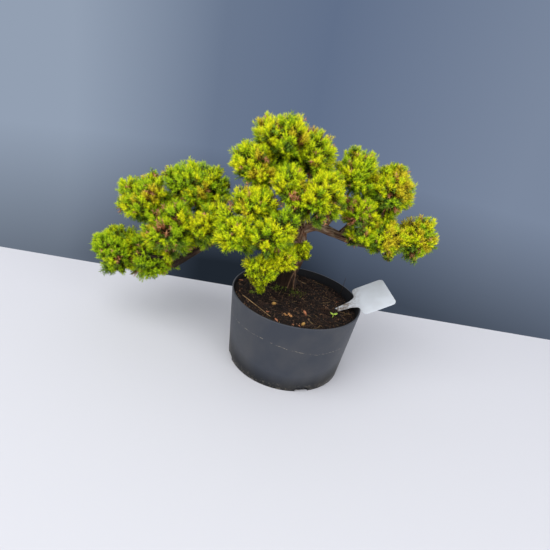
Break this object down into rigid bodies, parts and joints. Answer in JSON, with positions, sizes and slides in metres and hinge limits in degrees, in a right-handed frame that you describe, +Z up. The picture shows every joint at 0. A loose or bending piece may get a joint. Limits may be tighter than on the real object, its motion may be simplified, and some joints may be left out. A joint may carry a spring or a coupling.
{
  "type": "juniper bonsai",
  "caption": "Potted juniper bonsai: curved trunk, drooping bough to one side and level bough to the other, dense masses of short needles, round plastic pot with soil and a blank label.",
  "frame": {"origin": "centre of the pot's flat underside, on the surface it stands on", "axes": "+Z up, +X along the plant's long side from the drooping bough to the level one, -Y towards the side it is seen from"},
  "size_m": [0.3624, 0.1636, 0.2494],
  "materials": {
    "pot": "satin",
    "soil": "matte",
    "label": "satin",
    "bark": "matte",
    "needles": "satin"
  },
  "bodies": {
    "root": {"pot": "pot", "soil": "soil", "plant_label": "label", "trunk": "bark", "left_bough": "bark", "right_bough": "bark", "front_bough": "bark", "left_tip_twig": "bark", "left_outer_twig": "bark", "left_inner_twig": "bark", "left_middle_twig": "bark", "left_front_twig": "bark", "left_back_twig": "bark", "front_upper_twig": "bark", "front_left_twig": "bark", "front_right_twig": "bark", "front_low_twig": "bark", "front_spray_twig": "bark", "centre_right_twig": "bark", "crown_left_twig": "bark", "crown_right_twig": "bark", "crown_centre_twig": "bark", "crown_back_twig": "bark", "right_inner_twig": "bark", "right_middle_twig": "bark", "right_outer_twig": "bark", "right_front_twig": "bark", "right_low_twig": "bark", "right_back_twig": "bark", "foliage_left_tip": "needles", "foliage_left_low": "needles", "foliage_left_outer": "needles", "foliage_left_inner": "needles", "foliage_left_middle": "needles", "foliage_left_front": "needles", "foliage_left_back": "needles", "foliage_crown_top": "needles", "foliage_crown_left": "needles", "foliage_crown_right": "needles", "foliage_crown_back": "needles", "foliage_crown_centre": "needles", "foliage_centre_right": "needles", "foliage_front_upper": "needles", "foliage_front_left": "needles", "foliage_front_right": "needles", "foliage_front_low": "needles", "foliage_front_spray": "needles", "foliage_front_tip": "needles", "foliage_right_inner": "needles", "foliage_right_middle": "needles", "foliage_right_outer": "needles", "foliage_right_low": "needles", "foliage_right_front": "needles", "foliage_right_tip": "needles", "foliage_right_back": "needles"}
  },
  "joints": []
}
